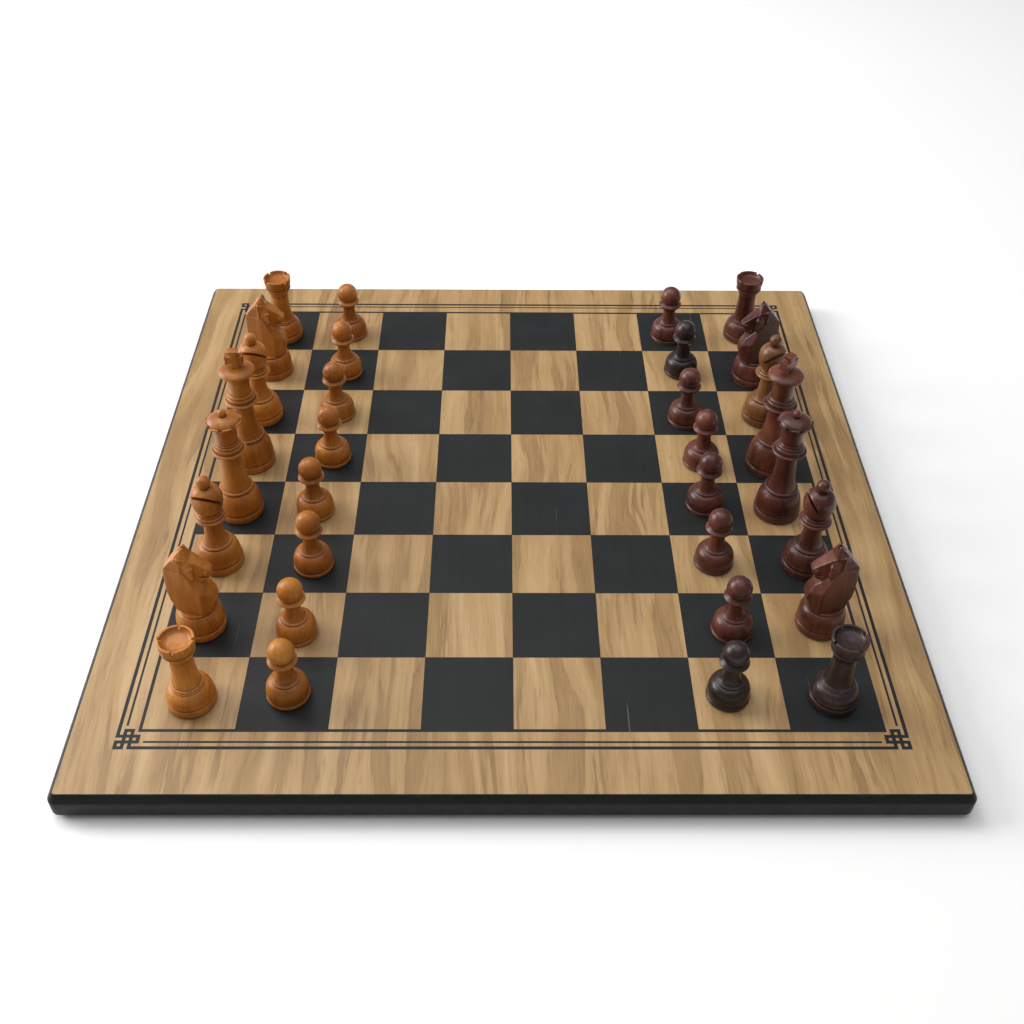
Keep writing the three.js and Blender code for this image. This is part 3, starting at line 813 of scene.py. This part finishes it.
def king_cross():
    """Four arms that widen outward, standing on the lowest one, with rounded arrises."""
    half = [(2.6, -0.4), (2.6, 0), (1.8, 2.4), (2.0, 3.6), (5.7, 2.7), (5.7, 9.0), (2.0, 8.2), (1.9, 9.2),
            (3.3, 12.3)]
    outline = half + [(-x, z) for x, z in reversed(half)]
    mesh = bmesh.new()
    verts = [mesh.verts.new((x * MM, -CROSS_THICKNESS / 2 * MM, z * MM)) for x, z in outline]
    face = mesh.faces.new(verts)
    grown = bmesh.ops.extrude_face_region(mesh, geom=[face])["geom"]
    moved = [item for item in grown if isinstance(item, bmesh.types.BMVert)]
    bmesh.ops.translate(mesh, vec=(0, CROSS_THICKNESS * MM, 0), verts=moved)
    bmesh.ops.recalc_face_normals(mesh, faces=mesh.faces)
    bmesh.ops.bevel(mesh, geom=list(mesh.edges), offset=CROSS_ROUNDING * MM, segments=3, profile=0.6,
                    affect="EDGES")
    return finished(mesh)


# ---------------------------------------------------------------- board
def rounded_square(half, corner, steps=8):
    """Corner arcs of a square, anticlockwise, in millimetres."""
    points = []
    for quarter in range(4):
        turn = quarter * math.pi / 2
        centre = Matrix.Rotation(turn, 2) @ Vector((half - corner, half - corner))
        for i in range(steps + 1):
            angle = turn + math.pi / 2 * i / steps
            points.append((centre.x + corner * math.cos(angle), centre.y + corner * math.sin(angle)))
    return points


def swept_plate(outline, corner):
    """A plate with a moulded edge: each point of the outline is half its width and a height."""
    mesh = bmesh.new()
    layer = mesh.verts.layers.float.new(RELIEF)
    widest = max(half for half, _ in outline.points)
    rings = []
    for (half, height), value in zip(outline.points, outline.relief()):
        radius = max(0.5, corner - (widest - half))
        ring = [mesh.verts.new((x * MM, y * MM, height * MM)) for x, y in rounded_square(half, radius)]
        for vert in ring:
            vert[layer] = value
        rings.append(ring)
    for lower, upper in zip(rings, rings[1:]):
        for i in range(len(lower)):
            j = (i + 1) % len(lower)
            mesh.faces.new((lower[i], lower[j], upper[j], upper[i]))
    mesh.faces.new(reversed(rings[0]))
    mesh.faces.new(rings[-1])
    return finished(mesh)


def board_edge():
    """The painted panel: a small bevel below, an upright side, and a slope up to the veneer."""
    low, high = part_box("board_core")
    side = high.x / MM
    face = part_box("board_veneer")[1].x / MM
    bottom, top = low.z / MM, BOARD_TOP / MM
    ridge = top - EDGE_RIDGE_DROP
    outline = Outline(side - 2.2, bottom).to(side - 2.1, 0.2).curve(side, 2.4, -0.35, 5)
    outline.to(side, ridge - 0.8 - outline.last[1]).curve(side - 0.35, 1.2, 0.6, 5)
    outline.curve(face + 0.55, top - 0.25 - outline.last[1], 0.12, 5)
    outline.curve(face + 0.15, 0.2, 0.7, 3).to(face + 0.02, 0).to(face + 0.02, -1.1)
    return swept_plate(outline, EDGE_CORNER)


def thin_lines():
    """The thin printed line inside the outer one, which stops short of the corner ornaments."""
    outer = (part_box("board_outer_line")[1].x - FIELD_MIDDLE.x) / MM - LINE_WIDTH / 2
    inner = (FIELD_HIGH.x - FIELD_MIDDLE.x) / MM - LINE_WIDTH / 2
    pitch = (outer - inner) / FRET_STEPS
    at, reach = outer - THIN_LINE_STEP * pitch, outer - THIN_LINE_STOP * pitch
    top = BOARD_TOP / MM - 0.005
    middle = Matrix.Translation((FIELD_MIDDLE.x / MM, FIELD_MIDDLE.y / MM, top - PRINT_DEPTH / 2))
    mesh = bmesh.new()
    for quarter in range(4):
        place = middle @ Matrix.Rotation(quarter * math.pi / 2, 4, "Z") @ Matrix.Translation((0, at, 0))
        size = Matrix.Diagonal((2 * reach + THIN_LINE_WIDTH, THIN_LINE_WIDTH, PRINT_DEPTH, 1))
        bmesh.ops.create_cube(mesh, size=1, matrix=place @ size)
    bmesh.ops.scale(mesh, vec=(MM, MM, MM), verts=mesh.verts)
    return finished(mesh)


# ---------------------------------------------------------------- assembly
def add_piece(name, data, material, body, replaces=(), place=None):
    made = add_object(name, data)
    if not data.materials:
        data.materials.append(material)
    made.material_slots[0].link = "OBJECT"
    made.material_slots[0].material = material
    if place is not None:
        made.matrix_world = place
    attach(made, body)
    if replaces:
        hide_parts(*replaces)
    return made


def dress_node(name, material):
    """Gives a CAD node that stays in view its finished material."""
    node = frame["nodes"][name]
    node.data.materials.clear()
    node.data.materials.append(material)


def dress_board():
    paint, veneer, print_black = edge_paint(), veneer_wood(), printed_black()
    add_piece("board_edge", board_edge(), paint, "board", ["board_core"])
    dress_node("board_veneer", veneer)
    dress_node("board_dark_squares", print_black)
    dress_node("board_outer_line", print_black)
    add_piece("board_thin_line", thin_lines(), print_black, "board")
    dress_node("board_base_felt", felt("baize", linear(28, 34, 32), linear(52, 60, 56)))


def wood_slot(body):
    if body.startswith("light"):
        return "light_wood"
    return "golden_wood" if DARK_SHADES.get(body) is GOLDEN_TONES else "dark_wood"


def stand(body):
    """Where a piece's axis meets the playing face, turned as the piece is."""
    low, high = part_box(body)
    turn = Matrix.Rotation(math.radians(TURNS.get(body, 0)), 4, "Z")
    return Matrix.Translation(((low.x + high.x) / 2, (low.y + high.y) / 2, BOARD_TOP)) @ turn


def dress_pieces():
    bodies = {"pawn": pawn(), "rook": rook(), "knight": knight_base(), "bishop": bishop(), "queen": queen(),
              "king": king()}
    radii = {"pawn": PAWN_RADIUS, "rook": ROOK_RADIUS, "knight": KNIGHT_RADIUS, "bishop": BISHOP_RADIUS,
             "queen": QUEEN_RADIUS, "king": KING_RADIUS}
    felts = {kind: felt_disc(radius - FELT_INSET, PAWN_SEGMENTS) for kind, radius in radii.items()}
    extras = {"knight": ("head", knight_head()), "king": ("cross", king_cross())}
    king_top = max(vertex.co.z for vertex in bodies["king"].vertices)
    under = felt("piece_felt", linear(112, 116, 94), linear(160, 162, 136))
    for seed, body in enumerate(sorted(frame["bodies"]), 1):
        if body == "board":
            continue
        kind = body.split("_")[1]
        wood, slot, place = wood_for(body, seed), wood_slot(body), stand(body)
        add_piece(f"{body}_wood", bodies[kind], wood, body, [body], place)
        replaced = [] if kind == "pawn" else [f"{body}_felt"]
        add_piece(f"{body}_felt_disc", felts[kind], under, body, replaced, place)
        if kind in extras:
            label, data = extras[kind]
            lift = Matrix.Translation((0, 0, king_top if kind == "king" else 0))
            add_piece(f"{body}_{label}_carved", data, wood, body, [f"{body}_{label}"], place @ lift)


make_camera()
make_studio()
make_floor()
dress_board()
dress_pieces()
